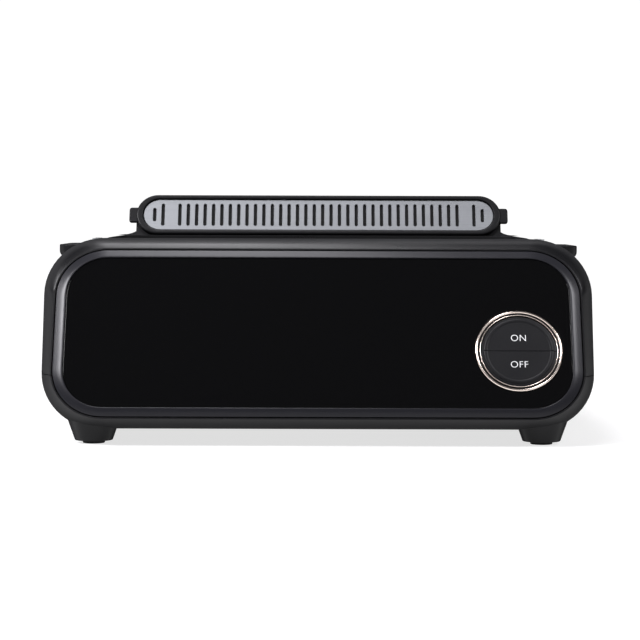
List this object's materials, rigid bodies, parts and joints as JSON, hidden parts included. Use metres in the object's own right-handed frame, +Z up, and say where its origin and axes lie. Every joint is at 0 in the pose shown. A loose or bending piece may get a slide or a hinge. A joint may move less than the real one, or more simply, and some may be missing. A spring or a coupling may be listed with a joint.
{
  "type": "electric multi cooker",
  "caption": "Wide low table-top cooker with a leaning glass front, round split key, lift-out pan and a slotted exhaust hood behind the deck.",
  "frame": {"origin": "on the table under the middle of the cooker", "axes": "+X to the right seen from the front, +Y from front to rear, +Z up"},
  "size_m": [0.3976, 0.372, 0.1782],
  "materials": {
    "casing_black": "fine moulded, satin",
    "hood_black": "fine moulded, satin",
    "bezel_satin": "satin dark grey",
    "glass_black": "gloss, black on its back",
    "ring_rose": "turned, rose gold anodised",
    "key_black": "satin",
    "vent_silver": "brushed, satin",
    "frame_black": "satin",
    "pan_coating": "non-stick coating",
    "handle_black": "heat-proof moulding",
    "foot_black": "moulded",
    "pad_rubber": "matt",
    "screw_steel": "zinc plated",
    "shield_steel": "pressed, aluminised",
    "heater_steel": "heat tinted",
    "board_green": "solder mask",
    "inner_plastic": "moulded",
    "component_dark": "moulded",
    "display_grey": "moulded",
    "sensor_alloy": "plain",
    "spring_steel": "drawn wire",
    "filter_mesh": "woven",
    "rotor_alloy": "plain",
    "bush_bronze": "sintered",
    "motor_steel": "drawn can",
    "pin_nickel": "nickel plated"
  },
  "bodies": {
    "base": {"upper_casing": "casing_black", "lower_casing": "casing_black", "casing_screws": "screw_steel", "foot_front_left": "foot_black", "foot_front_right": "foot_black", "foot_rear_left": "foot_black", "foot_rear_right": "foot_black", "foot_pad_front_left": "pad_rubber", "foot_pad_front_right": "pad_rubber", "foot_pad_rear_left": "pad_rubber", "foot_pad_rear_right": "pad_rubber", "front_bezel": "bezel_satin", "front_glass": "glass_black", "key_trim_ring": "ring_rose", "key_guide": "inner_plastic", "switch_housings": "component_dark", "control_board": "board_green", "control_board_screws": "screw_steel", "panel_carrier": "inner_plastic", "carrier_screws": "screw_steel", "display_module": "display_grey", "heat_shield": "shield_steel", "heater_element": "heater_steel", "heater_brackets": "shield_steel", "terminal_collars": "shield_steel", "heater_terminals": "pin_nickel", "pan_sensor": "sensor_alloy", "sensor_spring": "spring_steel", "thermal_cutout": "component_dark", "exhaust_hood": "hood_black", "hood_screws": "screw_steel", "fan_housing": "inner_plastic", "fan_bush": "bush_bronze", "fan_motor": "motor_steel", "motor_screws": "screw_steel", "outlet_grille": "hood_black", "power_board": "board_green", "power_board_screws": "screw_steel", "power_components": "component_dark", "power_inlet": "inner_plastic", "inlet_pins": "pin_nickel"},
    "upper_key": {"upper_key": "key_black", "upper_plunger": "inner_plastic"},
    "lower_key": {"lower_key": "key_black", "lower_plunger": "inner_plastic"},
    "pan": {"cooking_pan": "pan_coating", "pan_handle_left": "handle_black", "pan_handle_right": "handle_black", "handle_screws": "screw_steel"},
    "vent_cover": {"vent_frame": "frame_black", "vent_plate": "vent_silver", "mesh_filter": "filter_mesh"},
    "fan": {"fan_rotor": "rotor_alloy", "fan_shaft": "spring_steel"}
  },
  "joints": [
    {"name": "upper_key_press", "type": "slide", "parent": "base", "child": "upper_key", "axis": [0, 0.8949, -0.4462], "range_m": [0, 0.001], "stiffness_N_per_m": 800, "springref_m": -0.001},
    {"name": "lower_key_press", "type": "slide", "parent": "base", "child": "lower_key", "axis": [0, 0.8949, -0.4462], "range_m": [0, 0.001], "stiffness_N_per_m": 800, "springref_m": -0.001},
    {"name": "pan_lift", "type": "slide", "parent": "base", "child": "pan", "axis": [0, 0, 1], "range_m": [0, 0.12]},
    {"name": "vent_cover_pull", "type": "slide", "parent": "base", "child": "vent_cover", "axis": [0, -0.8949, 0.4462], "range_m": [0, 0.05]},
    {"name": "fan_spin", "type": "hinge", "parent": "base", "child": "fan", "pos_m": [0, 0.14, 0.097], "axis": [1, 0, 0], "continuous": true}
  ]
}
